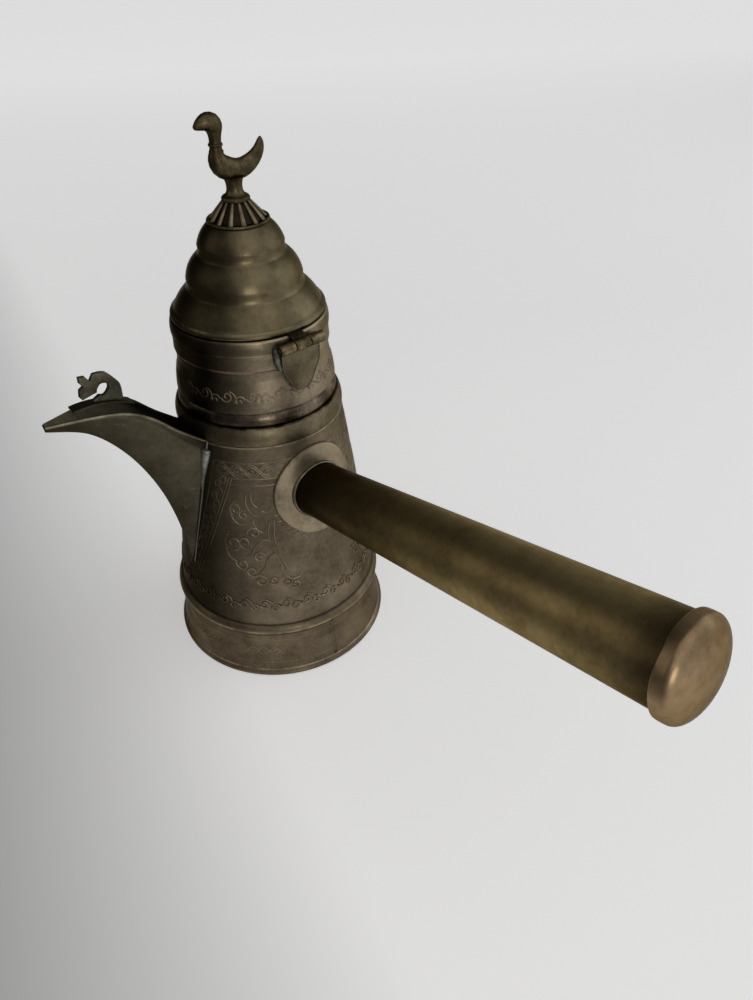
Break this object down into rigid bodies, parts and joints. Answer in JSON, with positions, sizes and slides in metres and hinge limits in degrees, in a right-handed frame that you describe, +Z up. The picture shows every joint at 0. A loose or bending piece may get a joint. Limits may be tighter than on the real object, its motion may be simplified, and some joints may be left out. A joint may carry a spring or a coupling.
{
  "type": "coffee pot",
  "caption": "Tapering brass coffee pot with a V-shaped beak spout, a straight stick handle at its side, a hinged stepped lid and a bird finial.",
  "frame": {"origin": "centre of the underside of the base rim, on the surface it stands on", "axes": "+Z up; the spout points along -X; the handle and the lid hinge are on the -Y side"},
  "size_m": [0.1375, 0.2594, 0.2312],
  "materials": {
    "aged_brass": "dark olive-brown patina, satin",
    "worn_copper": "warm worn copper-bronze, satin",
    "solder": "dull grey solder"
  },
  "bodies": {
    "pot": {"base_rim": "aged_brass", "base_disc": "aged_brass", "foot_band": "aged_brass", "body_shell": "aged_brass", "shoulder_roll": "aged_brass", "shoulder_bead": "worn_copper", "neck_band": "aged_brass", "neck_rim": "aged_brass", "spout_trough": "aged_brass", "spout_hood": "aged_brass", "spout_tongue": "aged_brass", "spout_crest": "aged_brass", "spout_rivet": "aged_brass", "spout_solder": "solder", "handle_escutcheon": "aged_brass", "handle_ferrule": "aged_brass", "handle_tube": "aged_brass", "handle_cap": "worn_copper", "hinge_neck_leaf": "aged_brass", "hinge_pin": "aged_brass", "hinge_solder_bed": "solder"},
    "lid": {"lid_shell": "aged_brass", "lid_sleeve": "aged_brass", "hinge_lid_leaf": "aged_brass", "finial_calyx": "aged_brass", "finial_stem": "aged_brass", "finial_washer": "aged_brass", "finial_bird": "aged_brass"}
  },
  "joints": [
    {"name": "lid_hinge", "type": "hinge", "parent": "pot", "child": "lid", "pos_m": [0, -0.034, 0.158], "axis": [1, 0, 0], "range_deg": [0, 105]}
  ]
}
